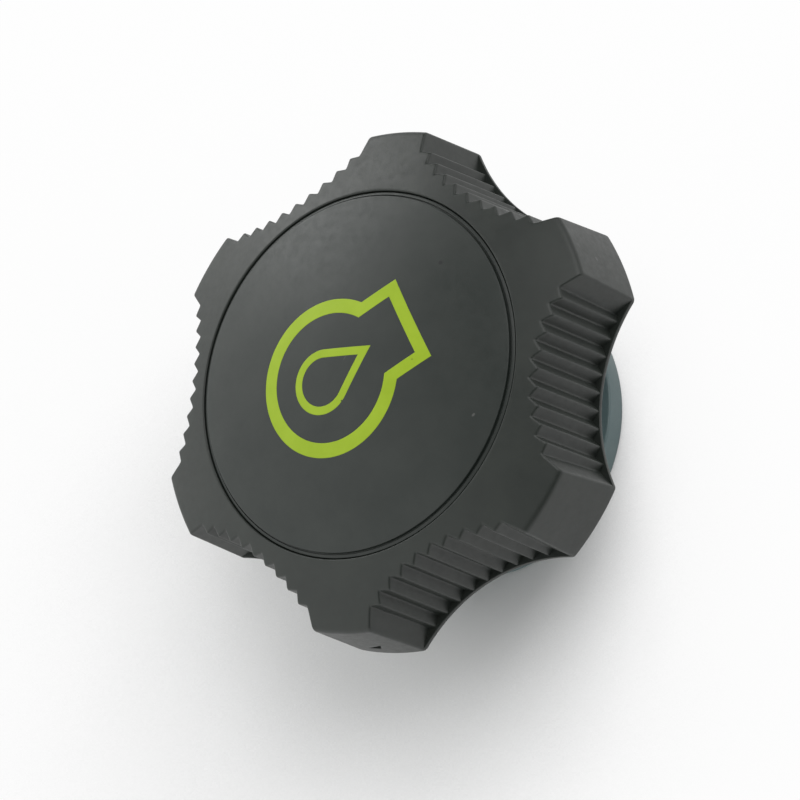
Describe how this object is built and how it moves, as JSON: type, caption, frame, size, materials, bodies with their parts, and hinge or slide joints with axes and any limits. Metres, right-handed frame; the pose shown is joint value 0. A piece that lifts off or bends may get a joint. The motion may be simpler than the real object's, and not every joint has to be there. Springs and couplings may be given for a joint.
{
  "type": "oil filler cap",
  "caption": "Screw-on filler cap: a lobed, serrated hand grip with a crowned face disc over a skirted closure with an internal thread and a flat gasket.",
  "frame": {"origin": "centre of the closure's open end, on the cap's axis", "axes": "+Z along the cap's axis, out through the face; +Y through the middle of one lobe, the one the picture shows uppermost"},
  "size_m": [0.07, 0.075, 0.0406],
  "materials": {
    "grip_black": "black glass-filled nylon, fine spark texture",
    "disc_black": "black nylon, fine spark texture",
    "symbol_lime": "lime green second shot, satin",
    "closure_grey": "blue-grey moulded plastic, satin",
    "gasket_rubber": "black oil-resistant rubber, matt",
    "screw_steel": "bright zinc-plated steel"
  },
  "bodies": {
    "root": {"grip": "grip_black", "face_disc": "disc_black", "symbol_vessel": "symbol_lime", "symbol_drop": "symbol_lime", "closure": "closure_grey", "gasket": "gasket_rubber", "cover_screws": "screw_steel"}
  },
  "joints": []
}
